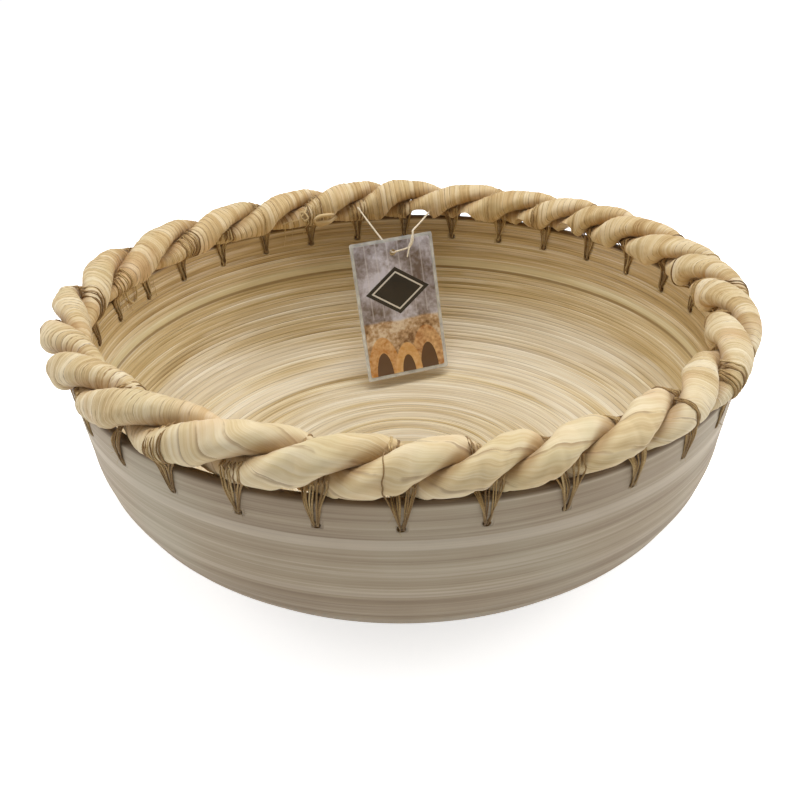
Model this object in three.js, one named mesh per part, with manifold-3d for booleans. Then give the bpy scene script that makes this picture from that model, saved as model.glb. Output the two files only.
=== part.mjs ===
// Bamboo bowl with a two-strand rope lashed along its rim, and a card tag on a thread.
// Millimetres, +Z up. The origin is the centre of the flat foot, and -Y is the front.
import * as THREE from 'three';
import { ParametricGeometry } from 'three/addons/geometries/ParametricGeometry.js';
import { mergeVertices } from 'three/addons/utils/BufferGeometryUtils.js';
import Module from 'manifold-3d';

const wasm = await Module();
wasm.setup();
const { degToRad } = THREE.MathUtils;

// Bowl: one coiled bamboo strip, pressed and glued into a shell with a flat foot.
const RIM_RADIUS = 166.5;
const BOWL_HEIGHT = 98;
const WALL = 5.8;
const FLOOR = 6;
const CORNER_RADIUS = 66;
const RIM_ROUNDING = 2.4;
const WALL_TILT = degToRad(7.1);
const BOWL_SEGMENTS = 48;
const CORNER_STEPS = 6;
const RIM_STEPS = 2;

// Rope: two wrapped strands twisted to the left, pressed flat on to the rim by the stitches.
const ROPE_RADIUS = 13.2;
const ROPE_FLATNESS = 0.78;
const ROPE_INSET = 6.5;
const SEAT_GAP = 0.3;
const STRAND_SPLIT = 0.6;
const STRAND_HALF_BREADTH = 8.4;
const STRAND_FULLNESS = 2.2;
const STEPS_PER_CROSSING = 5;
const STRAND_SIDES = 8;
const OUTLINE_SAMPLES = 48;
const CROSSING_TOLERANCE = 1e-6;
// Ring angles, from the front towards +X, at which one strand or the other crosses the top.
const CROSSING_ANGLES = [
  -9, 3, 13, 23, 36, 50, 66, 82, 96, 107, 121, 131, 140,
  151, 165, 179, 192, 207, 222, 240, 260, 276, 290, 304, 320, 337,
].map(degToRad);

// Stitches: short ties of jute twine, twice through one hole and twice over the rope.
const STITCH_COUNT = 32;
const FIRST_STITCH_ANGLE = degToRad(-1.1);
const HOLE_DROP = 12.4;
const HOLE_RADIUS = 2.4;
const HOLE_SIDES = 6;
const TWINE_RADIUS = 0.8;
const TWINE_SIDES = 4;
const TWINE_GAP = 0.4;
const TWINE_PAIR_GAP = 0.4;
const STITCH_HALF_SPREAD = 4.5;
const PASS_STEPS = 7;
const PASS_LOW_ANGLE = degToRad(-35);
const PASS_HIGH_ANGLE = degToRad(215);
const TAIL_LENGTH = 1.1;

// Tag: a flat card with one hole, hung inside the back of the bowl.
const TAG_WIDTH = 54;
const TAG_HEIGHT = 88;
const TAG_THICKNESS = 0.5;
const TAG_HOLE_RADIUS = 2;
const TAG_HOLE_DROP = 9;
const TAG_TURN = new THREE.Euler(degToRad(-14.2), degToRad(-2.3), degToRad(17.4), 'ZXY');
const TAG_HOLE_SEGMENTS = 6;

// Thread: from the rope down behind the card, through its hole, and up again to the rope.
const TAG_HOLE_PLACE = [-5.3, 117.5, 89.5];
const THREAD_RADIUS = 0.6;
const THREAD_SIDES = 8;
const THREAD_STEPS = 36;
const THREAD_ROUTE = [
  [-26.8, 145.8, 109.7], [-22.1, 139.8, 104.7], [-18.1, 134.9, 100.7], [-14.2, 130.1, 96.9],
  [-10.2, 125.3, 93.2], [-6.8, 121.3, 90.2], [-5.8, 119.0, 89.3], TAG_HOLE_PLACE,
  [-4.4, 116.3, 89.9], [-1.9, 116.6, 90.7], [1.9, 117.9, 91.2], [5.2, 119.2, 92.3],
  [6.8, 120.3, 94.9], [7.4, 121.4, 97.9], [7.6, 122.8, 100.1], [7.9, 125.0, 101.0],
  [10.2, 130.3, 101.6], [13.1, 136.2, 102.6], [16.0, 141.6, 104.0], [18.6, 145.5, 105.6],
];

// Places that follow from the sizes above.
const WALL_ACROSS = WALL / Math.cos(WALL_TILT);
const ROPE_RING_RADIUS = RIM_RADIUS - ROPE_INSET;
const HOLE_HEIGHT = BOWL_HEIGHT - HOLE_DROP;
const ROPE_HEIGHT = BOWL_HEIGHT + SEAT_GAP + ROPE_RADIUS * ROPE_FLATNESS;
const STRAND_HALF_DEPTH = (ROPE_RADIUS - STRAND_SPLIT / 2) / 2;
const STRAND_OFFSET = STRAND_SPLIT / 2 + STRAND_HALF_DEPTH;
const TURN = 2 * Math.PI;

const BAMBOO = { color: '#cdb78d', roughness: 0.45, metalness: 0 };
const HUSK = { color: '#dcc394', roughness: 0.7, metalness: 0 };
const JUTE = { color: '#8f6f45', roughness: 0.95, metalness: 0 };
const CARD = { color: '#8b7a68', roughness: 0.35, metalness: 0 };
const COTTON = { color: '#efe6d2', roughness: 0.9, metalness: 0 };

// The outer wall is a straight line from the rim down to the rounded corner.
function outerWallRadius(height) {
  return RIM_RADIUS - (BOWL_HEIGHT - height) * Math.tan(WALL_TILT);
}

// A point given by its distance from the axis, ring angle, height and shift along the ring.
function onRing(radius, angle, height, along = 0) {
  const x = radius * Math.sin(angle) + along * Math.cos(angle);
  const y = -radius * Math.cos(angle) + along * Math.sin(angle);
  return new THREE.Vector3(x, y, height);
}

// A point in the rope's flattened cross-section: bearing 0 points outwards, a quarter turn up.
function aroundRope(reach, bearing, angle) {
  const radius = ROPE_RING_RADIUS + reach * Math.cos(bearing);
  return onRing(radius, angle, ROPE_HEIGHT + ROPE_FLATNESS * reach * Math.sin(bearing));
}

// Merges shared corners, drops faces without area and turns the faces outwards.
function closedBody(geometry) {
  geometry.deleteAttribute('normal');
  geometry.deleteAttribute('uv');
  const merged = mergeVertices(geometry);
  const source = merged.index.array;
  const corners = [new THREE.Vector3(), new THREE.Vector3(), new THREE.Vector3()];
  const faces = [];
  let volume = 0;
  for (let i = 0; i < source.length; i += 3) {
    const face = [source[i], source[i + 1], source[i + 2]];
    if (new Set(face).size < face.length) continue;
    face.forEach((id, k) => corners[k].fromBufferAttribute(merged.attributes.position, id));
    volume += corners[0].dot(corners[1].clone().cross(corners[2]));
    faces.push(face);
  }
  const outward = volume > 0 ? faces : faces.map((face) => face.toReversed());
  merged.setIndex(outward.flat());
  return merged;
}

function toManifold(geometry) {
  const body = closedBody(geometry);
  const vertProperties = new Float32Array(body.attributes.position.array);
  const triVerts = new Uint32Array(body.index.array);
  return new wasm.Manifold(new wasm.Mesh({ numProp: 3, vertProperties, triVerts }));
}

function fromManifold(solid) {
  const mesh = solid.getMesh();
  const geometry = new THREE.BufferGeometry();
  geometry.setAttribute('position', new THREE.BufferAttribute(mesh.vertProperties, 3));
  geometry.setIndex(new THREE.BufferAttribute(mesh.triVerts, 1));
  return geometry;
}

// A round bar through the given points, with flat ends.
function barThrough(points, radius, sides) {
  const last = points.length - 1;
  const tangents = points.map((point, i) => {
    const before = points[Math.max(i - 1, 0)];
    const after = points[Math.min(i + 1, last)];
    const arriving = point.clone().sub(before).normalize();
    const leaving = after.clone().sub(point).normalize();
    return arriving.add(leaving).normalize();
  });
  const sideways = [];
  tangents.forEach((tangent, i) => {
    const previous = i > 0 ? sideways[i - 1] : new THREE.Vector3(0, 0, 1);
    const flat = previous.clone().addScaledVector(tangent, -previous.dot(tangent));
    sideways.push(flat.normalize());
  });
  const place = (u, v, target) => {
    const row = Math.round(u * (last + 2));
    const i = Math.min(Math.max(row - 1, 0), last);
    const reach = row === 0 || row === last + 2 ? 0 : radius;
    const spin = v * TURN;
    const other = tangents[i].clone().cross(sideways[i]);
    target.copy(points[i]);
    target.addScaledVector(sideways[i], reach * Math.cos(spin));
    target.addScaledVector(other, reach * Math.sin(spin));
  };
  return new ParametricGeometry(place, last + 2, sides);
}

// Rope

// The ring angle at which the rope has made a number of crossings over its top.
function angleAtCrossing(crossing) {
  const count = CROSSING_ANGLES.length;
  const first = Math.floor(crossing);
  const share = crossing - first;
  const [a, b, c, d] = [-1, 0, 1, 2].map((step) => {
    const index = first + step;
    const lap = Math.floor(index / count);
    return CROSSING_ANGLES[index - lap * count] + lap * TURN;
  });
  const bend = 2 * a - 5 * b + 4 * c - d;
  const twist = 3 * b - a - 3 * c + d;
  return b + ((c - a) * share + bend * share ** 2 + twist * share ** 3) / 2;
}

// The crossing count at a ring angle, found by halving.
function crossingAtAngle(angle) {
  let low = -CROSSING_ANGLES.length;
  let high = 2 * CROSSING_ANGLES.length;
  while (high - low > CROSSING_TOLERANCE) {
    const middle = (low + high) / 2;
    if (angleAtCrossing(middle) < angle) low = middle;
    else high = middle;
  }
  return low;
}

// The bearing of the first strand's middle after a number of crossings.
function layBearing(crossing) {
  return (crossing + 1 / 2) * Math.PI;
}

function rounded(value) {
  return Math.sign(value) * Math.abs(value) ** (2 / STRAND_FULLNESS);
}

// A strand's outline, as a distance outwards from the rope's middle and one to the side.
function strandOutline(spin) {
  const outwards = STRAND_OFFSET + STRAND_HALF_DEPTH * rounded(Math.cos(spin));
  const sideways = STRAND_HALF_BREADTH * rounded(Math.sin(spin));
  return [outwards, sideways];
}

function strandGeometry(strand) {
  const slices = CROSSING_ANGLES.length * STEPS_PER_CROSSING;
  const place = (u, v, target) => {
    const crossing = (Math.round(u * slices) % slices) / STEPS_PER_CROSSING;
    const [outwards, sideways] = strandOutline(v * TURN);
    const bearing = layBearing(crossing) + strand * Math.PI + Math.atan2(sideways, outwards);
    target.copy(aroundRope(Math.hypot(outwards, sideways), bearing, angleAtCrossing(crossing)));
  };
  return closedBody(new ParametricGeometry(place, slices, STRAND_SIDES));
}

// How far the rope reaches along a bearing at a ring angle.
function ropeReach(angle, bearing) {
  const lay = layBearing(crossingAtAngle(angle));
  let reach = 0;
  for (let spin = 0; spin < TURN; spin += TURN / OUTLINE_SAMPLES) {
    const [outwards, sideways] = strandOutline(spin);
    const turned = lay + Math.atan2(sideways, outwards) - bearing;
    reach = Math.max(reach, Math.abs(Math.hypot(outwards, sideways) * Math.cos(turned)));
  }
  return reach;
}

// Bowl

// Steps along a circular arc, both ends included.
function arcPoints(centreRadius, centreHeight, radius, from, to, steps) {
  return Array.from({ length: steps + 1 }, (_, i) => {
    const turn = from + (to - from) * (i / steps);
    const reach = centreRadius + radius * Math.cos(turn);
    return new THREE.Vector2(reach, centreHeight + radius * Math.sin(turn));
  });
}

function bowlShell() {
  const cornerCentre = outerWallRadius(CORNER_RADIUS) - CORNER_RADIUS / Math.cos(WALL_TILT);
  const rimMiddle = RIM_RADIUS - WALL_ACROSS / 2;
  const rimHalf = WALL_ACROSS / 2 - RIM_ROUNDING;
  const rimCentre = BOWL_HEIGHT - RIM_ROUNDING;
  const insideRadius = CORNER_RADIUS - FLOOR;
  const quarter = Math.PI / 2;
  const profile = [
    new THREE.Vector2(0, 0),
    ...arcPoints(cornerCentre, CORNER_RADIUS, CORNER_RADIUS, -quarter, -WALL_TILT, CORNER_STEPS),
    ...arcPoints(rimMiddle + rimHalf, rimCentre, RIM_ROUNDING, 0, quarter, RIM_STEPS),
    ...arcPoints(rimMiddle - rimHalf, rimCentre, RIM_ROUNDING, quarter, Math.PI, RIM_STEPS),
    ...arcPoints(cornerCentre, CORNER_RADIUS, insideRadius, -WALL_TILT, -quarter, CORNER_STEPS),
    new THREE.Vector2(0, FLOOR),
  ];
  const lathe = new THREE.LatheGeometry(profile, BOWL_SEGMENTS);
  lathe.rotateX(quarter);
  let shell = toManifold(lathe);
  for (let i = 0; i < STITCH_COUNT; i += 1) shell = shell.subtract(stitchHole(i));
  return fromManifold(shell);
}

function stitchAngle(index) {
  return FIRST_STITCH_ANGLE + (index * TURN) / STITCH_COUNT;
}

function stitchHole(index) {
  const angle = stitchAngle(index);
  const length = WALL * 3;
  const drill = new THREE.CylinderGeometry(HOLE_RADIUS, HOLE_RADIUS, length, HOLE_SIDES);
  drill.rotateY(TURN / HOLE_SIDES / 2);
  drill.rotateZ(angle);
  const middle = onRing(outerWallRadius(HOLE_HEIGHT) - WALL_ACROSS / 2, angle, HOLE_HEIGHT);
  drill.translate(middle.x, middle.y, middle.z);
  return toManifold(drill);
}

// Stitches

function stitchPoints(index) {
  const angle = stitchAngle(index);
  const outside = outerWallRadius(HOLE_HEIGHT) + TWINE_GAP + TWINE_RADIUS;
  const inside = outerWallRadius(HOLE_HEIGHT) - WALL_ACROSS - TWINE_GAP - TWINE_RADIUS;
  const pairOffset = TWINE_RADIUS + TWINE_PAIR_GAP / 2;
  const bearingStep = (PASS_HIGH_ANGLE - PASS_LOW_ANGLE) / PASS_STEPS;
  const spreadAngle = STITCH_HALF_SPREAD / ROPE_RING_RADIUS;
  const overRope = (side) => Array.from({ length: PASS_STEPS + 1 }, (_, i) => {
    const bearing = PASS_LOW_ANGLE + i * bearingStep;
    const passAngle = angle + side * spreadAngle;
    const clear = ropeReach(passAngle, bearing) + (TWINE_GAP + TWINE_RADIUS) / ROPE_FLATNESS;
    return aroundRope(clear / Math.cos(bearingStep / 2), bearing, passAngle);
  });
  const tailAlong = -pairOffset - 2 * TWINE_RADIUS - TWINE_PAIR_GAP;
  return [
    onRing(inside - TAIL_LENGTH, angle, HOLE_HEIGHT, pairOffset),
    onRing(outside, angle, HOLE_HEIGHT, pairOffset),
    ...overRope(1),
    onRing(inside, angle, HOLE_HEIGHT, -pairOffset),
    onRing(outside, angle, HOLE_HEIGHT, -pairOffset),
    ...overRope(-1),
    onRing(inside, angle, HOLE_HEIGHT + TAIL_LENGTH, tailAlong),
  ];
}

// Tag and thread

function tagGeometry() {
  const bottom = TAG_HOLE_DROP - TAG_HEIGHT;
  const outline = new THREE.Shape();
  outline.moveTo(-TAG_WIDTH / 2, bottom);
  outline.lineTo(TAG_WIDTH / 2, bottom);
  outline.lineTo(TAG_WIDTH / 2, TAG_HOLE_DROP);
  outline.lineTo(-TAG_WIDTH / 2, TAG_HOLE_DROP);
  outline.closePath();
  outline.holes.push(new THREE.Path().absarc(0, 0, TAG_HOLE_RADIUS, 0, TURN, true));
  const options = { depth: TAG_THICKNESS, bevelEnabled: false, curveSegments: TAG_HOLE_SEGMENTS };
  const card = new THREE.ExtrudeGeometry(outline, options);
  card.translate(0, 0, -TAG_THICKNESS / 2);
  card.rotateX(Math.PI / 2);
  return closedBody(card);
}

function threadGeometry() {
  const route = new THREE.CatmullRomCurve3(THREAD_ROUTE.map((p) => new THREE.Vector3(...p)));
  const section = new THREE.Shape();
  for (let i = 0; i < THREAD_SIDES; i += 1) {
    const spin = (i * TURN) / THREAD_SIDES;
    const corner = [THREAD_RADIUS * Math.cos(spin), THREAD_RADIUS * Math.sin(spin)];
    if (i === 0) section.moveTo(...corner);
    else section.lineTo(...corner);
  }
  section.closePath();
  const options = { steps: THREAD_STEPS, extrudePath: route, bevelEnabled: false };
  return closedBody(new THREE.ExtrudeGeometry(section, options));
}

// Assembly

const group = new THREE.Group();

function addPiece(name, geometry, finish) {
  const piece = new THREE.Mesh(geometry, new THREE.MeshStandardMaterial(finish));
  piece.name = name;
  group.add(piece);
  return piece;
}

addPiece('bowl_shell', bowlShell(), BAMBOO);
addPiece('rope_strand_a', strandGeometry(0), HUSK);
addPiece('rope_strand_b', strandGeometry(1), HUSK);
for (let i = 0; i < STITCH_COUNT; i += 1) {
  const number = String(i + 1).padStart(2, '0');
  const twine = barThrough(stitchPoints(i), TWINE_RADIUS, TWINE_SIDES);
  addPiece(`stitch_${number}`, closedBody(twine), JUTE);
}
const tag = addPiece('hang_tag', tagGeometry(), CARD);
tag.position.set(...TAG_HOLE_PLACE);
tag.rotation.copy(TAG_TURN);
addPiece('tag_thread', threadGeometry(), COTTON);

export default group;
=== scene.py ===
"""Coiled bamboo bowl with a rope rim and a card tag: its finished look, built round the frame."""
import math
import random

import bmesh
import bpy
import numpy as np
from mathutils import Matrix, Vector, noise


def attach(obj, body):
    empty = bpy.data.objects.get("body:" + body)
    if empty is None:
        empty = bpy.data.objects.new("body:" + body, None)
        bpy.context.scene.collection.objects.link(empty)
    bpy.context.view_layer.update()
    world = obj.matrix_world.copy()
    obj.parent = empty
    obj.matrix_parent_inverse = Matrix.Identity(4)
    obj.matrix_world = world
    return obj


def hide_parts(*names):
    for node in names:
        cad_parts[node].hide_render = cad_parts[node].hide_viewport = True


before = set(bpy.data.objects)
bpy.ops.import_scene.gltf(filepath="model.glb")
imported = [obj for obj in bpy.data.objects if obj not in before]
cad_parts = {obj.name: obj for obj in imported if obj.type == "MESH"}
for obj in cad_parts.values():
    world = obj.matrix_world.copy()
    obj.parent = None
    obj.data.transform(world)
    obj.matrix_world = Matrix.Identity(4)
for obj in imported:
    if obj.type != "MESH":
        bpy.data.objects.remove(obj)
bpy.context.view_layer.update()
MM = 0.001
TURN = 2 * math.pi


def add_object(name, data):
    """A new object in the scene."""
    made = bpy.data.objects.new(name, data)
    bpy.context.scene.collection.objects.link(made)
    return made


# Camera
# It stands in front of the bowl, looks down into it and is turned a little about its own axis.
FOCAL_PIXELS = 986
PICTURE_PIXELS = 800
SENSOR_MM = 36
CAMERA_PLACE = Vector((-2.6, -464.7, 306.9)) * MM
CAMERA_TARGET = Vector((-2.6, 0, 49.3)) * MM
CAMERA_ROLL = math.radians(-1.28)

camera = add_object("camera", bpy.data.cameras.new("camera"))
camera.data.sensor_width = SENSOR_MM
camera.data.lens = SENSOR_MM * FOCAL_PIXELS / PICTURE_PIXELS
forward = (CAMERA_TARGET - CAMERA_PLACE).normalized()
level = forward.cross(Vector((0, 0, 1))).normalized()
above = level.cross(forward)
camera_right = level * math.cos(CAMERA_ROLL) + above * math.sin(CAMERA_ROLL)
camera_up = above * math.cos(CAMERA_ROLL) - level * math.sin(CAMERA_ROLL)
camera_turn = Matrix((camera_right, camera_up, -forward)).transposed().to_4x4()
camera.matrix_world = Matrix.Translation(CAMERA_PLACE) @ camera_turn
bpy.context.scene.camera = camera
bpy.context.scene.view_settings.view_transform = "Standard"


# Hanging thread
# Undyed two-ply cotton. It comes down from the rope behind the card, goes through the card's
# hole, is knotted in front of it and goes up to the rope again.
THREAD_DIAMETER = 1.2 * MM
THREAD_LAY = 2.6 * MM
TAG_HOLE_PLACE = (-5.3, 117.5, 89.5)
THREAD_ROUTE = [
    (-26.8, 145.8, 109.7), (-22.1, 139.8, 104.7), (-18.1, 134.9, 100.7), (-14.2, 130.1, 96.9),
    (-10.2, 125.3, 93.2), (-6.8, 121.3, 90.2), (-5.8, 119.0, 89.3), TAG_HOLE_PLACE,
    (-4.4, 116.3, 89.9), (-1.9, 116.6, 90.7), (1.9, 117.9, 91.2), (5.2, 119.2, 92.3),
    (6.8, 120.3, 94.9), (7.4, 121.4, 97.9), (7.6, 122.8, 100.1), (7.9, 125.0, 101.0),
    (10.2, 130.3, 101.6), (13.1, 136.2, 102.6), (16.0, 141.6, 104.0), (18.6, 145.5, 105.6),
]
COTTON_COLOURS = ((0.3, "#c9b48e"), (0.62, "#f3e8d2"))
PLY_DEPTH = 0.28
PLY_POWER = 0.6
LEAST_SIDE = 1e-6


def curve_point(a, b, c, d, share):
    """The value at a share of the way from b to c, on a smooth line through all four."""
    bend = 2 * a - 5 * b + 4 * c - d
    twist = 3 * b - a - 3 * c + d
    return b + ((c - a) * share + bend * share * share + twist * share ** 3) / 2


def through(points, per_span):
    """A smooth line through the points, with so many steps from each one to the next."""
    points = [Vector(p) for p in points]
    last = len(points) - 1
    line = []
    for i in range(last):
        near = [points[min(max(i + step, 0), last)] for step in (-1, 0, 1, 2)]
        line += [curve_point(*near, k / per_span) for k in range(per_span)]
    return line + [points[-1]]


def mesh_piece(name, *parts):
    """One object made of the vertices and faces of one part or more."""
    vertices, faces = [], []
    for more_vertices, more_faces in parts:
        faces += [[len(vertices) + i for i in face] for face in more_faces]
        vertices += [tuple(v) for v in more_vertices]
    mesh = bpy.data.meshes.new(name)
    mesh.from_pydata(vertices, [], faces)
    mesh.polygons.foreach_set("use_smooth", [True] * len(mesh.polygons))
    return add_object(name, mesh)


def store(piece, name, values):
    """Keeps a value for each vertex, for the piece's material."""
    stored = piece.data.attributes.new(name, "FLOAT", "POINT")
    stored.data.foreach_set("value", values)


def skin(rings, sides, closed=False):
    """Faces between rings of points, joined end to end if closed and else capped."""
    faces = []
    for ring in range(rings if closed else rings - 1):
        here, ahead = ring * sides, (ring + 1) % rings * sides
        for k in range(sides):
            after = (k + 1) % sides
            faces.append((here + k, here + after, ahead + after, ahead + k))
    if closed:
        return faces
    last = (rings - 1) * sides
    return faces + [tuple(reversed(range(sides))), tuple(range(last, last + sides))]


def lengths_along(line):
    """How far along the line each of its points lies."""
    run = [0.0]
    for before, after in zip(line, line[1:]):
        run.append(run[-1] + (after - before).length)
    return run


def plied_tube(line, radius, plies, lay, sides, start=0.0):
    """Vertices and faces of a twisted cord. radius gives the reach at each share of its length."""
    run = lengths_along(line)
    vertices = []
    side = Vector((0, 0, 1))
    for i, point in enumerate(line):
        heading = (line[min(i + 1, len(line) - 1)] - line[max(i - 1, 0)]).normalized()
        side = side - heading * side.dot(heading)
        side = (side if side.length > LEAST_SIDE else heading.orthogonal()).normalized()
        other = heading.cross(side)
        twist = start + TURN * run[i] / lay
        for k in range(sides):
            spin = TURN * k / sides
            groove = abs(math.cos(plies * (spin - twist) / 2))
            reach = radius(run[i] / run[-1]) * (1 - PLY_DEPTH + PLY_DEPTH * groove ** PLY_POWER)
            vertices.append(point + (side * math.cos(spin) + other * math.sin(spin)) * reach)
    return vertices, skin(len(line), sides)


def colour(text):
    """The linear colour of a hex code, as shaders take it."""
    parts = [int(text[i:i + 2], 16) / 255 for i in (1, 3, 5)]
    return tuple(p / 12.92 if p <= 0.04045 else ((p + 0.055) / 1.055) ** 2.4 for p in parts)


def operator(operation, swapped=False):
    """A method that adds a Math node to its socket."""
    def method(self, other):
        values = (other, self) if swapped else (self, other)
        return self.shader.calculate(operation, *values)
    return method


class Socket:
    """A node's output. Sums, products and comparisons on it add Math nodes."""

    __add__ = __radd__ = operator("ADD")
    __sub__ = operator("SUBTRACT")
    __rsub__ = operator("SUBTRACT", swapped=True)
    __mul__ = __rmul__ = operator("MULTIPLY")
    __truediv__ = operator("DIVIDE")
    __lt__ = operator("LESS_THAN")
    __gt__ = operator("GREATER_THAN")

    def __init__(self, shader, output):
        self.shader = shader
        self.output = output


class Shader:
    """One material, its surface node and the nodes that feed it."""

    def __init__(self, name, roughness, **plain):
        self.material = bpy.data.materials.new(name)
        self.material.use_nodes = True
        self.tree = self.material.node_tree
        self.surface = self.tree.nodes["Principled BSDF"]
        self.surface.inputs["Roughness"].default_value = roughness
        for socket, value in plain.items():
            self.surface.inputs[socket.replace("_", " ")].default_value = value

    def node(self, kind, settings, *values, out=0, **named):
        """Adds a node. Its settings come first, then its sockets' values or links."""
        made = self.tree.nodes.new(kind)
        stops = settings.get("stops", ())
        for key, value in settings.items():
            if key != "stops":
                setattr(made, key, value)
        for i, (place, shade) in enumerate(stops):
            ramp = made.color_ramp.elements
            stop = ramp[i] if i < 2 else ramp.new(place)
            stop.position = place
            stop.color = (*colour(shade), 1)
        for key, value in [*enumerate(values), *named.items()]:
            key = key.replace("_", " ") if isinstance(key, str) else key
            if isinstance(value, Socket):
                self.tree.links.new(value.output, made.inputs[key])
            elif value is not None:
                value = (*colour(value), 1) if isinstance(value, str) else value
                made.inputs[key].default_value = value
        return Socket(self, made.outputs[out])

    def calculate(self, operation, *values):
        return self.node("ShaderNodeMath", {"operation": operation}, *values)

    def place(self):
        """The point on the surface, in metres in the object's frame."""
        return self.node("ShaderNodeTexCoord", {}, out="Object")

    def stored(self, name, out="Fac"):
        """A value that the mesh carries."""
        return self.node("ShaderNodeAttribute", {"attribute_name": name}, out=out)

    def parts(self, vector):
        """The three numbers of a vector."""
        split = self.node("ShaderNodeSeparateXYZ", {}, vector)
        return [Socket(self, output) for output in split.output.node.outputs]

    def vector(self, x, y, z):
        return self.node("ShaderNodeCombineXYZ", {}, x, y, z)

    def noise(self, vector, scale=1.0, detail=2.0, roughness=0.5):
        named = {"Vector": vector, "Scale": scale, "Detail": detail, "Roughness": roughness}
        return self.node("ShaderNodeTexNoise", {}, **named)

    def ramp(self, value, *stops):
        return self.node("ShaderNodeValToRGB", {"stops": stops}, value)

    def between(self, value, low, high):
        """0 below low, 1 above high and smooth between them."""
        settings = {"interpolation_type": "SMOOTHSTEP"}
        named = {"From_Min": low, "From_Max": high}
        return self.node("ShaderNodeMapRange", settings, value, **named)

    def mix(self, share, first, second, blend="MIX"):
        """Goes from the first colour to the second."""
        settings = {"data_type": "RGBA", "blend_type": blend}
        values = [share, None, None, None, None, None, first, second]
        return self.node("ShaderNodeMix", settings, *values, out=2)

    def band(self, value, rise, fall):
        """1 where the value lies between two slopes, and 0 outside them."""
        return self.between(value, *rise) * self.between(value, *fall)

    def layered(self, base, *layers):
        """Lays colours over one: each has a mask, a strength, itself and maybe its blend."""
        for mask, strength, shade, *blend in layers:
            base = self.mix(mask * strength, base, shade, *blend)
        return base

    def feed(self, socket, value):
        self.tree.links.new(value.output, self.surface.inputs[socket])

    def bump(self, height, distance):
        named = {"Height": height, "Distance": distance}
        self.feed("Normal", self.node("ShaderNodeBump", {}, **named))


thread_line = through([Vector(p) * MM for p in THREAD_ROUTE], 8)
thread = mesh_piece("hanging_thread", plied_tube(
    thread_line, lambda share: THREAD_DIAMETER / 2, 2, THREAD_LAY, 12))

cotton = Shader("undyed_cotton", 0.85, Sheen_Weight=0.3)
cotton_fibre = cotton.noise(cotton.place(), scale=2600, detail=3)
cotton.feed("Base Color", cotton.ramp(cotton_fibre, *COTTON_COLOURS))
cotton.bump(cotton_fibre, 0.1 * MM)
thread.data.materials.append(cotton.material)
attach(thread, "thread")
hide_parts("tag_thread")


# Knot on the thread
# The thread's two ends are tied together in a long overhand knot in front of the card. One end
# is left over below it.
KNOT_ENDS = (11, 14)
KNOT_RADIUS = 1.15 * MM
KNOT_LAY = 1.9 * MM
KNOT_THIN = 0.45
KNOT_START = 0.12
TAIL_ROUTE = [(5.4, 118.6, 92.6), (4.8, 117.4, 90.4), (4.2, 116.3, 88.2), (3.9, 115.8, 86.9)]

knot_route = [Vector(p) * MM for p in THREAD_ROUTE[KNOT_ENDS[0]:KNOT_ENDS[1] + 1]]
knot_mesh = plied_tube(
    through(knot_route, 14),
    lambda share: KNOT_RADIUS * (
        KNOT_THIN + (1 - KNOT_THIN) * math.sin(math.pi * min(1, KNOT_START + share)) ** 0.7),
    3, KNOT_LAY, 18)
tail_mesh = plied_tube(
    through([Vector(p) * MM for p in TAIL_ROUTE], 6),
    lambda share: THREAD_DIAMETER * (0.5 - 0.12 * share), 2, THREAD_LAY, 10)
thread_knot = mesh_piece("thread_knot", knot_mesh, tail_mesh)
thread_knot.data.materials.append(cotton.material)
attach(thread_knot, "thread")
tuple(thread_line[0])


# Bowl
# One long strip of bamboo coiled into a flat disc, pressed up into a bowl and glued. Inside it
# is lacquered; outside it is sanded and washed with thin grey-white paint.
RIM_RADIUS = 166.5
BOWL_HEIGHT = 98
WALL = 5.8
FLOOR = 6
CORNER_RADIUS = 66
RIM_ROUNDING = 2.4
WALL_TILT = math.radians(7.1)
BOWL_SEGMENTS = 192
INSIDE_COURSE = 2.3
OUTSIDE_COURSE = 4.2
INSIDE_SHARES = [(0, -0.15), (0.08, -0.02), (0.3, 0.02), (0.6, 0.03), (0.92, 0.0)]
OUTSIDE_SHARES = [(0, -0.02), (0.25, 0.0), (0.5, 0.01), (0.75, 0.0)]
UNEQUAL_COURSES = (0.75, 1.25)
PROBE = 0.2
STRIP_LIFT = 0.22
CALM_UNDER_RIM = 3
CALM_MIDDLE = 12
LEDGE_HEIGHTS = (66.0, 70.5)
LEDGE_LIFT = 0.35
PROFILE_START = 0.001
STITCH_COUNT = 32
FIRST_STITCH_ANGLE = math.radians(-1.1)
HOLE_DROP = 12.4
HOLE_RADIUS = 1.8
HOLE_SIDES = 20
HOLE_LENGTH = 18
# Bands of colour, by the heights in metres between which each comes in and goes out again.
LEDGE_BAND = (0.0655, 0.0668), (0.0712, 0.0700)
UNDER_LEDGE_BAND = (0.0636, 0.0650), (0.0664, 0.0656)
PALE_BAND = (0.0735, 0.0748), (0.0798, 0.0790)
LOW_BAND = (0.0468, 0.0480), (0.0512, 0.0500)
BROWN_BAND = (0.0405, 0.0425), (0.0460, 0.0445)
PAINTED_REFLECTION_LOW = (0.056, 0.034)
UPPER_WALL_SHADE = (0.055, 0.09)
# The rim's top turns dark brown: its raw cut edge, and painted shade where it shows under the
# rope.
RAW_AND_SHADED_RIM = (0.0955, 0.0972)
RAW_AND_SHADED_RIM_BROWN = "#5f4526"
PALE_WASH = "#dccfbb"
LACQUER_COLOURS = ((0.37, "#a98e5b"), (0.45, "#cdb380"), (0.53, "#e0cb9f"), (0.62, "#f4e8ca"))
WASH_COLOURS = ((0.37, "#7f6a51"), (0.45, "#9c8970"), (0.53, "#ad9c82"), (0.64, "#c9bba4"))

wall_across = WALL / math.cos(WALL_TILT)
inside_rim = RIM_RADIUS - wall_across
hole_height = BOWL_HEIGHT - HOLE_DROP


def outer_wall(height):
    """The radius of the straight outer wall at a height."""
    return RIM_RADIUS - (BOWL_HEIGHT - height) * math.tan(WALL_TILT)


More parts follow.
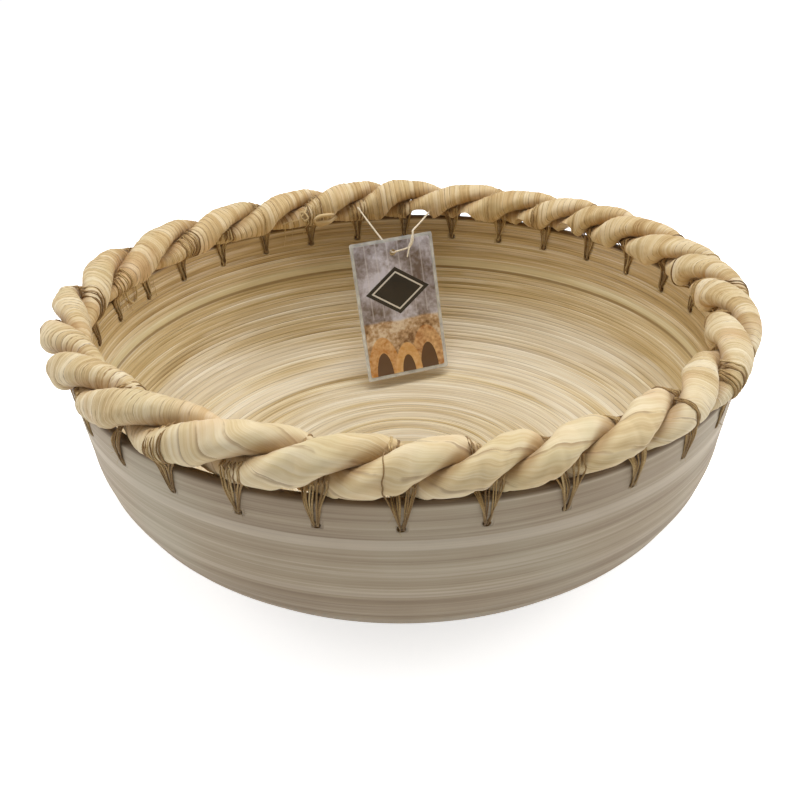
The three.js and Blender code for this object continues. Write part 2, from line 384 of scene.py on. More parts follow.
def arc(centre, height, radius, first, last, steps=40):
    """Points (radius, height) along a round stretch of a profile."""
    turns = np.linspace(first, last, steps)
    return np.stack([centre + radius * np.cos(turns), height + radius * np.sin(turns)], 1)


def on_ring(radius, angle, height, along=0.0):
    """A point from its radius, ring angle, height and shift along the ring, in metres."""
    x = radius * math.sin(angle) + along * math.cos(angle)
    y = -radius * math.cos(angle) + along * math.sin(angle)
    return Vector((x, y, height)) * MM


corner_centre = outer_wall(CORNER_RADIUS) - CORNER_RADIUS / math.cos(WALL_TILT)
rim_centre = BOWL_HEIGHT - RIM_ROUNDING
rim_middle = RIM_RADIUS - wall_across / 2
rim_half = wall_across / 2 - RIM_ROUNDING
quarter = math.pi / 2
inside_profile = np.concatenate([
    [[PROFILE_START, FLOOR]],
    arc(corner_centre, CORNER_RADIUS, CORNER_RADIUS - FLOOR, -quarter, -WALL_TILT),
    arc(rim_middle - rim_half, rim_centre, RIM_ROUNDING, math.pi, quarter, 8)])
outside_profile = np.concatenate([
    arc(rim_middle + rim_half, rim_centre, RIM_ROUNDING, quarter, 0, 8),
    arc(corner_centre, CORNER_RADIUS, CORNER_RADIUS, -WALL_TILT, -quarter),
    [[PROFILE_START, 0]]])


def courses(profile, width, shares, seed):
    """Rings along a profile: where each lies, which way is out, its strip and its relief."""
    draw = random.Random(seed)
    run = np.concatenate([[0], np.cumsum(np.linalg.norm(np.diff(profile, axis=0), axis=1))])
    rings, edge, strip = [], 0.0, 0
    while edge < run[-1]:
        broad = width * draw.uniform(*UNEQUAL_COURSES)
        for share, relief in shares:
            if edge + share * broad < run[-1]:
                rings.append((edge + share * broad, strip, share, relief))
        edge, strip = edge + broad, strip + 1
    rings.append((run[-1], strip - 1, 1.0, 0.0))
    for where, strip, share, relief in rings:
        at = [np.interp(where, run, profile[:, k]) for k in (0, 1)]
        ahead = [np.interp(min(where + PROBE, run[-1]), run, profile[:, k]) for k in (0, 1)]
        behind = [np.interp(max(where - PROBE, 0), run, profile[:, k]) for k in (0, 1)]
        heading = np.subtract(ahead, behind) / np.linalg.norm(np.subtract(ahead, behind))
        yield np.array(at), np.array([-heading[1], heading[0]]), strip, share, relief


# Each side's profile, course, shares of a strip with their relief, seed, unevenness and swell.
sides = [(inside_profile, INSIDE_COURSE, INSIDE_SHARES, 3, 0.14, 0.0),
         (outside_profile, OUTSIDE_COURSE, OUTSIDE_SHARES, 8, 0.08, 0.2)]
bowl_vertices, bowl_courses, bowl_relief = [], [], []
for profile, width, shares, seed, unevenness, swell in sides:
    first_outside = len(bowl_courses)
    for at, out, strip, share, relief in courses(profile, width, shares, seed):
        calm = 1 - np.clip((at[1] - rim_centre + CALM_UNDER_RIM) / CALM_UNDER_RIM, 0, 1)
        calm *= np.clip(at[0] / CALM_MIDDLE, 0, 1)
        band = noise.noise(Vector((strip * 0.37 + share * 0.37, seed, 0.5)))
        proud = STRIP_LIFT * noise.noise(Vector((strip * 5.3, seed * 1.7, 2.5)))
        if profile is inside_profile and LEDGE_HEIGHTS[0] < at[1] < LEDGE_HEIGHTS[1]:
            proud += LEDGE_LIFT
        for k in range(BOWL_SEGMENTS):
            angle = TURN * k / BOWL_SEGMENTS
            spot = Vector((math.cos(angle) * 1.7, math.sin(angle) * 1.7, strip * 7.3 + seed))
            lift = relief + proud + unevenness * noise.noise(spot) + swell * band
            radius, height = at + out * (lift * calm)
            bowl_vertices.append(on_ring(radius, angle, height))
        bowl_courses.append(strip + share)
        bowl_relief.append(relief + swell * band)
bowl_faces = skin(len(bowl_courses), BOWL_SEGMENTS)
bowl = mesh_piece("bamboo_bowl", (bowl_vertices, bowl_faces))
store(bowl, "course", np.repeat(bowl_courses, BOWL_SEGMENTS))
store(bowl, "relief", np.repeat(bowl_relief, BOWL_SEGMENTS))
outside_faces = [i // BOWL_SEGMENTS >= first_outside for i in range(len(bowl_faces) - 2)]
bowl.data.polygons.foreach_set("material_index", [int(f) for f in outside_faces] + [0, 1])


def stitch_angle(index):
    return FIRST_STITCH_ANGLE + TURN * index / STITCH_COUNT


drills = []
for index in range(STITCH_COUNT):
    angle = stitch_angle(index)
    middle = outer_wall(hole_height) - wall_across / 2
    ends = []
    for side in (-1, 1):
        for k in range(HOLE_SIDES):
            spin = TURN * k / HOLE_SIDES
            ends.append(on_ring(
                middle + side * HOLE_LENGTH / 2, angle,
                hole_height + HOLE_RADIUS * math.sin(spin), HOLE_RADIUS * math.cos(spin)))
    drills.append((ends, skin(2, HOLE_SIDES)))
drill = mesh_piece("drill", *drills)


def outward(piece):
    """Turns the faces of a closed mesh outwards."""
    mesh = bmesh.new()
    mesh.from_mesh(piece.data)
    bmesh.ops.recalc_face_normals(mesh, faces=mesh.faces)
    mesh.to_mesh(piece.data)
    mesh.free()


def applied(piece):
    """Gives the piece the mesh that its modifiers make, and takes them off."""
    shown = piece.evaluated_get(bpy.context.evaluated_depsgraph_get())
    made = bpy.data.meshes.new_from_object(shown)
    piece.modifiers.clear()
    piece.data = made


outward(drill)
outward(bowl)
cut = bowl.modifiers.new("holes", "BOOLEAN")
cut.operation = "DIFFERENCE"
cut.solver = "MANIFOLD"
cut.object = drill

inner = Shader(
    "lacquered_bamboo", 0.42, Coat_Weight=0.22, Coat_Roughness=0.22, Specular_IOR_Level=0.4)
course = inner.stored("course")
strip = inner.calculate("FLOOR", course)
across_strip = inner.calculate("FRACT", course)
x, y, z = inner.parts(inner.place())
strip_tone = inner.noise(inner.vector(x * 9, y * 9, strip * 17.3), detail=2)
fibre_lines = inner.noise(inner.vector(x * 9, y * 9, course * 2.3), detail=4)
fine_lines = inner.noise(inner.vector(x * 34, y * 34, course * 6), detail=2)
broad = inner.noise(inner.vector(x * 6, y * 6, course * 0.22), detail=2)
tone = strip_tone * 0.36 + fibre_lines * 0.3 + fine_lines * 0.2 + broad * 0.14
# A painted highlight: a bright line along the edge of some strips.
edge_highlight = inner.between(across_strip, 0.78, 0.9) * inner.between(strip_tone, 0.5, 0.62)
light_patch = inner.between(
    inner.noise(inner.vector(x * 14, y * 14, strip * 3.7), detail=1), 0.6, 0.68)
seam = inner.between(across_strip, 0.16, 0.03) * inner.between(fibre_lines, 0.66, 0.4)
# Paler in patches low down inside: a painted reflection of white light on the lacquer.
painted_reflection = inner.between(z, *PAINTED_REFLECTION_LOW) * inner.between(broad, 0.35, 0.6)
inner.feed("Base Color", inner.layered(
    inner.ramp(tone, *LACQUER_COLOURS),
    (edge_highlight, 0.75, "#fbf0d6"),
    (light_patch, 0.35, "#f2e6cd"),
    (seam, 0.8, "#7d5c2b"),
    (painted_reflection, 0.38, "#f0e9da"),
    (inner.band(z, *LEDGE_BAND), 0.6, "#e6dbb0"),
    (inner.band(z, *UNDER_LEDGE_BAND), 0.7, "#86693a"),
    # Darker and warmer high up the inside wall: painted shade and painted bounced light.
    (inner.between(z, *UPPER_WALL_SHADE), 0.38, "#cfb074", "MULTIPLY"),
    # Dark rim top: raw cut edge and painted shade.
    (inner.between(z, *RAW_AND_SHADED_RIM), 0.85, RAW_AND_SHADED_RIM_BROWN)))
inner.feed("Roughness", 0.3 + 0.22 * fibre_lines)
inner.bump(fibre_lines * 0.6 + fine_lines * 0.4, 0.2 * MM)

outer = Shader("washed_bamboo", 0.62, Coat_Weight=0.05, Coat_Roughness=0.5)
course = outer.stored("course")
x, y, z = outer.parts(outer.place())
bands = outer.noise(outer.vector(x * 4, y * 4, course * 0.55), detail=2)
brush = outer.noise(outer.vector(x * 7, y * 7, course * 3.1), detail=4, roughness=0.65)
patches = outer.noise(outer.place(), scale=14, detail=2)
tone = bands * 0.42 + brush * 0.42 + patches * 0.16
patchy_band = outer.band(z, *PALE_BAND) * outer.between(patches, 0.25, 0.5)
outer.feed("Base Color", outer.layered(
    outer.ramp(tone, *WASH_COLOURS),
    (outer.between(outer.stored("relief"), 0.02, 0.2), 0.3, "#d3c6b1"),
    (patchy_band, 0.42, PALE_WASH),
    (outer.band(z, *LOW_BAND), 0.25, PALE_WASH),
    (outer.band(z, *BROWN_BAND), 0.35, "#806b50"),
    (outer.between(patches, 0.5, 0.75), 0.25, "#aeab97"),
    # Dark rim top: raw cut edge and painted shade.
    (outer.between(z, *RAW_AND_SHADED_RIM), 0.8, RAW_AND_SHADED_RIM_BROWN)))
outer.feed("Roughness", 0.5 + 0.25 * brush)
outer.bump(brush, 0.14 * MM)

bowl.data.materials.append(inner.material)
bowl.data.materials.append(outer.material)
applied(bowl)
bpy.data.objects.remove(drill)
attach(bowl, "bowl")
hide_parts("bowl_shell")


# Rope strands
# Two strands twisted to the left round the rim. Each has a soft core that is wound with dry
# strips of plant husk that overlap, across it at the back and nearly along it in front. The
# strands sag on to the rim.
ROPE_RADIUS = 13.2
ROPE_FLATNESS = 0.78
ROPE_INSET = 6.5
SEAT_GAP = 0.3
STRAND_SPLIT = 0.6
STRAND_HALF_BREADTH = 8.4
STRAND_FULLNESS = 2.2
CROSSING_ANGLES = [math.radians(a) for a in (
    -9, 3, 13, 23, 36, 50, 66, 82, 96, 107, 121, 131, 140,
    151, 165, 179, 192, 207, 222, 240, 260, 276, 290, 304, 320, 337)]
SPLICE_CROSSING = 15.5
RINGS_PER_CROSSING = 72
STRAND_SIDES = 52
WOUND_STEEP = (3.3, 7.5)
WOUND_SHALLOW = (15.0, 44.0)
SHALLOW_MIDDLE = math.radians(8)
SHALLOW_HALF = math.radians(34)
SHALLOW_FADE = math.radians(14)
HUSK_EDGE = 0.36
EDGE_LOW = 0.55
EDGE_HIGH = 0.41
EDGE_TURN = 0.88
WRINKLE = 0.4
HUSK_PLUMPNESS = 0.45
CROWN = 0.1
REST_DEPTH = 13.4
INNER_HANG = -1.2
INNER_HANG_FRONT = 7.7
LEAST_SAG = -0.2
SAG_ENDS = 5
LEAST_SAG_ENDS = 3
RIM_MARGIN = 0.3
RIM_SEAT = 0.15
SHOULDER = 0.17
SLACK = 0.6
STRIP_UNEVENNESS = 0.9
ROPE_STATIONS = [
    # ring angle in degrees, shift outwards in mm, breadth, height, how far it hangs outside in mm
    (0, -0.2, 0.96, 1.08, -5.5), (12, -0.5, 0.92, 0.93, -6.5), (30, -0.7, 0.9, 0.87, -6.5),
    (48, 0.0, 0.92, 0.86, -6.0), (64, 0.9, 0.92, 0.93, -5.0), (80, 1.3, 0.92, 0.98, -2.0),
    (96, 1.0, 0.98, 1.0, 0.2), (112, 1.2, 1.04, 1.0, 0.2), (128, 1.0, 1.0, 1.04, 0.2),
    (146, 0.4, 0.94, 0.97, 0.2), (160, 0.3, 0.96, 1.02, 0.2), (171, 0.0, 0.98, 1.0, 0.2),
    (181, 0.0, 1.0, 1.16, 0.2), (197, 0.0, 1.0, 1.1, 0.2), (215, 0.6, 0.98, 1.0, 0.2),
    (240, 1.6, 1.0, 1.04, 0.2), (255, 3.4, 0.94, 1.04, -1.0), (270, 5.0, 0.84, 1.04, -2.5),
    (286, 5.0, 0.85, 1.08, -4.0), (304, 2.0, 0.9, 1.14, -5.5), (328, 0.2, 0.94, 1.16, -6.0),
    (346, -0.2, 0.96, 1.12, -6.0)]
OPEN_PLACES = [
    # ring angle in degrees, half length in degrees, how far light shows over the rim in mm
    (175.3, 2.5, 4.6), (164.4, 2.1, 3.6), (150.2, 1.3, 3.4), (138.2, 2.5, 6.4)]
# Places in metres, for the materials.
LEAF_PLACE = (0.154, -0.0735, 0.103)
LEAF_EDGE = (0.011, 0.006)
FRONT = (-0.1, -0.145)
BACK = (-0.06, 0.12)
LEAST_OPENING = 0.3
OPENING_SLOPE = 1 / 3
TWINE_PINCH = 0.3
TWINE_SPREAD = 4.5
TWINE_PRESS_WIDTH = 1.5
HUSK_COLOURS = ((0.32, "#9f7a46"), (0.41, "#c8a975"), (0.5, "#dfc89a"), (0.64, "#f5e7c9"))

ring_radius = RIM_RADIUS - ROPE_INSET
rope_height = BOWL_HEIGHT + SEAT_GAP + ROPE_RADIUS * ROPE_FLATNESS
strand_half_depth = (ROPE_RADIUS - STRAND_SPLIT / 2) / 2
strand_offset = STRAND_SPLIT / 2 + strand_half_depth
crossings = len(CROSSING_ANGLES)


def angle_at_crossing(crossing):
    """The ring angle at which the rope has made a number of crossings over its top."""
    first = math.floor(crossing)
    near = [CROSSING_ANGLES[(first + step) % crossings]
            + (first + step) // crossings * TURN for step in (-1, 0, 1, 2)]
    return curve_point(*near, crossing - first)


crossing_steps = np.linspace(-crossings, 2 * crossings, 6000)
angle_steps = np.array([angle_at_crossing(c) for c in crossing_steps])


def rope_station(angle, column):
    """A value from the table of the rope's stations, for any ring angle."""
    places = [math.radians(station[0]) for station in ROPE_STATIONS]
    values = [station[column] for station in ROPE_STATIONS]
    return float(np.interp(angle % TURN, places, values, period=TURN))


def around_rope(reach, bearing, angle):
    """A point from its reach and bearing round the rope's middle."""
    radius = ring_radius + rope_station(angle, 1) + reach * math.cos(bearing)
    return on_ring(radius, angle, rope_height + ROPE_FLATNESS * reach * math.sin(bearing))


def rounded(value):
    return math.copysign(abs(value) ** (2 / STRAND_FULLNESS), value)


def pinch(angle):
    """How hard the twine ties press the rope in at a ring angle, from 0 to 1."""
    step = TURN / STITCH_COUNT
    away = (angle - FIRST_STITCH_ANGLE + step / 2) % step - step / 2
    off = abs(abs(away) * ring_radius - TWINE_SPREAD)
    return math.exp(-(off / TWINE_PRESS_WIDTH) ** 2)


def winding(angle):
    """The husk strips' spacing along a strand, and how far one runs in a turn round it, in mm."""
    away = abs((angle - SHALLOW_MIDDLE + math.pi) % TURN - math.pi)
    share = np.clip((SHALLOW_HALF - away) / SHALLOW_FADE + 0.5, 0, 1)
    return [steep + share * (shallow - steep)
            for steep, shallow in zip(WOUND_STEEP, WOUND_SHALLOW)]


def seated(radius, height):
    """Where soft husk comes to lie when the rim holds it up."""
    if inside_rim - RIM_MARGIN < radius < RIM_RADIUS + RIM_MARGIN:
        return max(height, BOWL_HEIGHT + RIM_SEAT)
    return height


def sagging(angle, lay):
    """How much a strand's lower half is drawn out so that it rests on the rim."""
    middle = strand_offset * math.sin(lay)
    drop = math.hypot(strand_half_depth * math.sin(lay), STRAND_HALF_BREADTH * math.cos(lay))
    hang = rope_station(angle, 4) if math.cos(lay) > 0 else (
        INNER_HANG + INNER_HANG_FRONT * max(0, math.cos(angle)) ** 0.5)
    lowest = REST_DEPTH + hang * abs(math.cos(lay)) ** 0.7
    wanted = (lowest + middle) / (drop + HUSK_PLUMPNESS)
    least = LEAST_SAG * np.clip(1 + middle / LEAST_SAG_ENDS, 0, 1)
    return 1 + max(least, wanted - 1) * np.clip(1 - middle / SAG_ENDS, 0, 1)


def off_the_rim(angle):
    """How far the rope lies above the rim where light shows under it, in mm."""
    lift = 0
    for place, half, gap in OPEN_PLACES:
        away = (math.degrees(angle) - place + 180) % 360 - 180
        lift += gap * math.exp(-(away / half) ** 4)
    return lift


def strip_height(edge):
    """How proud a husk strip is at a share of its breadth: it rises, then steps down."""
    if edge < EDGE_TURN:
        return HUSK_EDGE * (edge ** 0.7 - EDGE_LOW)
    step = (EDGE_HIGH + EDGE_LOW) / (1 - EDGE_TURN)
    return HUSK_EDGE * (EDGE_HIGH - step * (edge - EDGE_TURN))


rope_outlines = [[], []]


def husk_strand(name, strand):
    """A wound strand. It stores, for its material, its strip, how deep it lies and its side."""
    draw_at = strand * 31.7
    slices = crossings * RINGS_PER_CROSSING
    vertices, strips, depths, flanks = [], [], [], []
    middle_before, run, strip_run = None, 0.0, 0.0
    for i in range(slices):
        crossing = SPLICE_CROSSING + i / RINGS_PER_CROSSING
        angle = angle_at_crossing(crossing)
        spacing, lean = winding(angle)
        lay = (crossing + 0.5) * math.pi + strand * math.pi
        middle = around_rope(strand_offset, lay, angle)
        step = (middle - middle_before).length / MM if middle_before else 0
        middle_before = middle
        run += step
        strip_run += step / spacing
        slack = SLACK * noise.noise(Vector((run * 0.035, draw_at, 1.3)))
        rough = 0.5 + 0.9 * noise.noise(Vector((run * 0.045, draw_at, 4.1)))
        uneven = STRIP_UNEVENNESS / spacing * noise.noise(Vector((run * 0.03, draw_at, 7.9)))
        pressed = TWINE_PINCH * pinch(angle)
        low_middle = strand_offset * math.sin(lay)
        sag = sagging(angle, lay)
        middle_radius = ring_radius + rope_station(angle, 1)
        breadth, fatness = rope_station(angle, 2), rope_station(angle, 3)
        lifted = off_the_rim(angle)
        shoulder = 1 + SHOULDER * math.cos(lay) ** 2
        crown = CROWN * max(0, math.sin(lay))
        outline = []
        for k in range(STRAND_SIDES):
            spin = TURN * k / STRAND_SIDES - math.pi
            outwards = strand_half_depth * rounded(math.cos(spin))
            sideways = STRAND_HALF_BREADTH * rounded(math.sin(spin))
            reach = math.hypot(outwards, sideways)
            facing = (math.cos(spin), math.sin(spin))
            strip = strip_run + uneven + lean / spacing * spin / TURN
            strip += 0.04 * noise.noise(Vector((facing[0], facing[1], run * 0.06 + draw_at)))
            shelf = strip_height(strip - math.floor(strip))
            slow = (facing[0] * 0.25, facing[1] * 0.25)
            fold = noise.noise(Vector((*slow, strip * 3.4 + draw_at)))
            fine = noise.noise(Vector((*slow, strip * 9.5 + draw_at)))
            wrinkle = WRINKLE * max(rough, 0.2) * (-abs(fold) * 1.6 + 0.35 + 0.45 * fine)
            swell = HUSK_PLUMPNESS + crown + slack + shelf + wrinkle - pressed
            stretch = 1 + swell / reach
            bearing = lay + math.atan2(sideways * stretch, strand_offset + outwards * stretch)
            away = math.hypot(sideways * stretch, strand_offset + outwards * stretch)
            radius = middle_radius + away * math.cos(bearing) * breadth
            height = away * math.sin(bearing)
            drawn = sag if height < low_middle else shoulder
            height = low_middle + (height - low_middle) * drawn
            height = ROPE_FLATNESS * (height + ROPE_RADIUS)
            height = BOWL_HEIGHT + SEAT_GAP + height * (fatness if height > 0 else 1)
            height = seated(radius, height)
            if lifted > LEAST_OPENING:
                least = BOWL_HEIGHT + lifted + (inside_rim - radius) * OPENING_SLOPE
                height = max(height, least)
            vertices.append(on_ring(radius, angle, height))
            outline.append((radius - middle_radius, (height - rope_height) / ROPE_FLATNESS))
            strips.append(strip)
            depths.append(-shelf * 0.6 - wrinkle)
            flanks.append(abs(spin))
        rope_outlines[strand].append((angle % TURN, outline))
    piece = mesh_piece(name, (vertices, skin(slices, STRAND_SIDES, closed=True)))
    store(piece, "strip", strips)
    store(piece, "depth", depths)
    store(piece, "flank", flanks)
    outward(piece)
    return piece


husk = Shader("dry_husk", 0.62, Sheen_Weight=0.12, Sheen_Roughness=0.4, Specular_IOR_Level=0.35)
strip = husk.stored("strip")
place = husk.place()
x, y, z = husk.parts(place)
strip_index = husk.calculate("FLOOR", strip)
strip_tone = husk.node("ShaderNodeTexWhiteNoise", {"noise_dimensions": "1D"}, W=strip_index)
veins = husk.noise(husk.vector(x * 9, y * 9, strip * 5 + z * 12), detail=4, roughness=0.62)
hair_veins = husk.noise(husk.vector(x * 20, y * 20, strip * 20 + z * 20), detail=2)
blush = husk.noise(place, scale=34, detail=2)
mottle = husk.noise(place, scale=80, detail=3)
tone = veins * 0.42 + hair_veins * 0.24 + mottle * 0.2 + strip_tone * 0.14
in_front = husk.between(y, *FRONT)
tone = tone + in_front * (0.55 - tone) * 0.42
strip_edge = husk.calculate("FRACT", strip)
# Painted shade: a dark line in the creases where one husk strip steps down on to the next.
crease_shade = husk.between(strip_edge, 0.84, 0.96) * husk.between(veins + mottle, 0.94, 1.1)
leaf = husk.node("ShaderNodeVectorMath", {"operation": "DISTANCE"}, place, LEAF_PLACE, out="Value")
green_leaf = husk.between(leaf, *LEAF_EDGE) * husk.between(veins, 0.4, 0.55)
husk.feed("Base Color", husk.layered(
    husk.ramp(tone, *HUSK_COLOURS),
    (husk.between(blush, 0.54, 0.72), 0.34, "#e0b88d"),
    (husk.between(blush, 0.46, 0.3), 0.3, "#d3c79b"),
    (husk.between(y, *BACK), 0.3, "#e6cd9f", "MULTIPLY"),
    # Painted shade on the side of each strand that faces the groove between them.
    (husk.between(husk.stored("flank"), 1.5, 2.3), 0.5, "#a37843"),
    # Painted shade where the husk lies deep, between strips and in wrinkles.
    (husk.between(husk.stored("depth"), 0.1, 0.42), 0.5, "#9a6838"),
    (crease_shade, 0.74 - in_front * 0.24, "#855a30"),
    (green_leaf, 0.9, "#56532c")))
husk.feed("Roughness", 0.5 + 0.25 * veins)
husk.bump(veins * 0.7 + hair_veins * 0.3, 0.45 * MM)

for strand, letter in enumerate("ab"):
    rope_strand = husk_strand(f"husk_strand_{letter}", strand)
    rope_strand.data.materials.append(husk.material)
    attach(rope_strand, "bowl")
    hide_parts(f"rope_strand_{letter}")


# Twine ties
# Thin threads of straw-brown jute, nine to a tie. From the hole in the wall they go up the
# outside of the rope in two bunches, down between its two strands and back to the hole inside.
JUTE_RADIUS = 0.4
JUTE_LAY = 2.2
JUTE_OFFSETS = (-5.0, -4.2, -3.3, -1.7, -0.2, 1.9, 3.2, 4.1, 4.9)
CLIMB_START = math.radians(-50)
CLIMB_STEP = math.radians(14)
TUCK_DEPTH = 3.2
VALLEY_DEPTH = 1.6
VALLEY_HALF = 0.45
WANDER = 0.35
LEAST_LEAN = 0.15
PLUG_RADIUS = 1.5
PLUG_LAY = 9
RIM_DROP = 1.6
FIBRE_RADIUS = 0.11
FIBRE_STEPS = 5
FIBRE_TONE = 0.8
SHADED_PLUG_TONE = 0.05
LOOSE_TONE = 0.85
HOLE_SHADE_HEIGHTS = (0.098, 0.087)
JUTE_COLOURS = ((0.2, "#5a4022"), (0.4, "#91734a"), (0.57, "#b99965"), (0.78, "#dfc897"))

headings = np.linspace(0, TURN, 180, endpoint=False)
outline_angles = [np.array([angle for angle, _ in outlines]) for outlines in rope_outlines]


def rope_reaches(angle):
    """How far a tight loop round both strands lies from the rope's middle, for each heading."""
    points = []
    for angles, outlines in zip(outline_angles, rope_outlines):
        away = np.abs((angles - angle + math.pi) % TURN - math.pi)
        points += outlines[int(away.argmin())][1]
    supports = (np.array(points) @ np.stack([np.cos(headings), np.sin(headings)])).max(0)
    turns = headings[:, None] - headings[None, :]
    leans = np.where(np.cos(turns) > LEAST_LEAN, np.cos(turns), np.nan)
    return np.nanmin(supports[None, :] / leans, axis=1)


def reach_at(reaches, bearing):
    """The reach at any bearing, from those at each heading."""
    return np.interp(bearing % TURN, headings, reaches, period=TURN)


def groove_bearing(angle):
    """Which way the groove between the strands faces at a ring angle, in half a turn."""
    return float(np.interp(angle, angle_steps, crossing_steps)) % 1 * math.pi


def climb(at, start, groove, draw):
    """Points up the rope's side from one bearing to the groove, and then down into it."""
    reaches = rope_reaches(at)
    steps = max(1, math.ceil(abs(groove - start) / CLIMB_STEP))
    for step in range(steps + 1):
        bearing = start + step / steps * (groove - start)
        reach = reach_at(reaches, bearing)
        near_groove = abs(math.sin((bearing - groove) / 2)) * 2
        valley = VALLEY_DEPTH * math.exp(-(near_groove / VALLEY_HALF) ** 2)
        wander = draw.uniform(-WANDER, WANDER) / ring_radius
        yield around_rope(reach + JUTE_RADIUS * 0.8 - valley, bearing, at + wander)
    reach = reach_at(reaches, groove)
    yield around_rope(reach - TUCK_DEPTH, groove, at)
    yield around_rope(reach * 0.35, groove, at)


def jute_routes(index, draw):
    """The routes of a tie's threads: from the hole up the outside, and up the inside."""
    angle = stitch_angle(index)
    for offset in JUTE_OFFSETS:
        at = angle + (offset + draw.uniform(-0.9, 0.9)) / ring_radius
        groove = groove_bearing(at)
        beside = math.copysign(draw.uniform(0.2, 1.0), offset)
        low = draw.uniform(-1.0, 0.6)
        for side in (1, -1):
            wall = outer_wall(hole_height) - (wall_across if side < 0 else 0)
            rim = inside_rim if side < 0 else RIM_RADIUS
            off = side * (JUTE_RADIUS + draw.uniform(0, 0.35))
            if side > 0:
                end = groove if groove < quarter else groove - math.pi
                start = min(CLIMB_START, end)
            else:
                end = groove if groove > quarter else groove + math.pi
                start = max(math.pi - CLIMB_START, end)
            share = 0.72 + draw.uniform(-0.08, 0.08)
            part_way = offset * share * 0.9 + beside * (1 - share)
            yield [on_ring(wall - side * 3.0, angle, hole_height + low, beside),
                   on_ring(wall - side * 1.0, angle, hole_height + low, beside),
                   on_ring(wall + off, angle, hole_height + low + 1.0, beside * 1.3),
                   on_ring(rim + off * 1.3, angle, BOWL_HEIGHT - RIM_DROP, part_way),
                   *climb(at, start, end, draw)]


def stray_fibre(root, lean, length, draw):
    """A thin curved fibre that stands off the twine."""
    points, heading = [root], lean.normalized()
    for _ in range(FIBRE_STEPS):
        heading = (heading + Vector([draw.uniform(-0.5, 0.5) for _ in range(3)])).normalized()
        points.append(points[-1] + heading * (length * MM / FIBRE_STEPS))
    return plied_tube(points, lambda share: FIBRE_RADIUS * MM * (1 - 0.6 * share), 1, 1, 4)


jute = Shader("brown_jute", 0.9, Sheen_Weight=0.2, Specular_IOR_Level=0.2)
place = jute.place()
jute_fibre = jute.noise(place, scale=2200, detail=3)
jute_tone = jute.stored("tone")
# Painted shade: the threads darken low down under the rope, towards the hole.
hole_shade = jute.between(jute.parts(place)[2], *HOLE_SHADE_HEIGHTS) * jute.between(jute_tone, 0.84, 0.76)
jute.feed("Base Color", jute.layered(
    jute.ramp(jute_fibre * 0.45 + jute_tone * 0.55, *JUTE_COLOURS),
    (hole_shade, 0.52, "#553c1d")))
jute.bump(jute_fibre, 0.2 * MM)

for index in range(STITCH_COUNT):
    draw = random.Random(100 + index)
    angle = stitch_angle(index)
    parts, tones = [], []
    for points in jute_routes(index, draw):
        route = through(points, 4)
        thin = draw.uniform(0.75, 1.2)
        parts.append(plied_tube(
            route, lambda share: JUTE_RADIUS * thin * MM, 2, JUTE_LAY * MM, 7, draw.uniform(0, 6)))
        tones.append(draw.uniform(0.2, 0.85))
        for _ in range(draw.randrange(4)):
            root = route[draw.randrange(6, min(24, len(route)))]
            lean = Vector([draw.uniform(-1, 1), draw.uniform(-1, 1), draw.uniform(-1, 0.4)])
            parts.append(stray_fibre(root, lean, draw.uniform(1.5, 4.5), draw))
            tones.append(FIBRE_TONE)
    # The plug through the hole takes the darkest tone: stained twine and painted shade inside the
    # hole.
    plug = [on_ring(outer_wall(hole_height) - depth, angle, hole_height)
            for depth in (-0.2, 1.2, wall_across / 2, wall_across - 1.2, wall_across + 0.2)]
    parts.append(plied_tube(
        plug, lambda share: PLUG_RADIUS * (0.6 + 0.5 * math.sin(math.pi * share)) * MM,
        5, PLUG_LAY * MM, 20))
    tones.append(SHADED_PLUG_TONE)
    tie = mesh_piece(f"twine_tie_{index + 1:02d}", *parts)
    store(tie, "tone", np.repeat(tones, [len(vertices) for vertices, _ in parts]))
    tie.data.materials.append(jute.material)
    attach(tie, "bowl")
    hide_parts(f"stitch_{index + 1:02d}")


# Loose ends
# Bits of jute and folded husk that stick out of the rope: a knot with its ends, a slack loop,
# hairs that hang down the wall, and a crumpled husk end.
KNOT_ANGLE = math.radians(204)
LOOP_ANGLE = math.radians(252)
FOLD_ANGLE = math.radians(198.4)
HAIR_ANGLES = [math.radians(a) for a in (253.2, 254.6, 256.0, 244.4, 78.0, 80.5, 205.8)]
HAIR_STEPS = 5
HAIR_RADIUS = 0.16
FOLD_RADIUS = 1.1


def on_rope(angle, along, bearing_degrees, off):
    """A point near the rope's surface, from a ring angle, a shift along it and a bearing."""
    at = angle + along / ring_radius
    bearing = math.radians(bearing_degrees)
    return around_rope(reach_at(rope_reaches(at), bearing) + off, bearing, at)


def by_wall(angle, along, height, off):
    """A point beside the inside of the wall."""
    radius = outer_wall(min(height, BOWL_HEIGHT)) - wall_across - off
    return on_ring(radius, angle, height, along)


knot = [on_rope(KNOT_ANGLE, *point) for point in (
    (-3, 150, 0.2), (-1.5, 165, 0.9), (1, 178, 1.3), (2, 190, 1.0), (0, 196, 1.6),
    (-1.8, 186, 1.9), (-0.5, 172, 1.8), (1.6, 168, 1.0), (2.4, 182, 1.6), (0.6, 200, 1.2),
    (-0.4, 215, 0.8))]
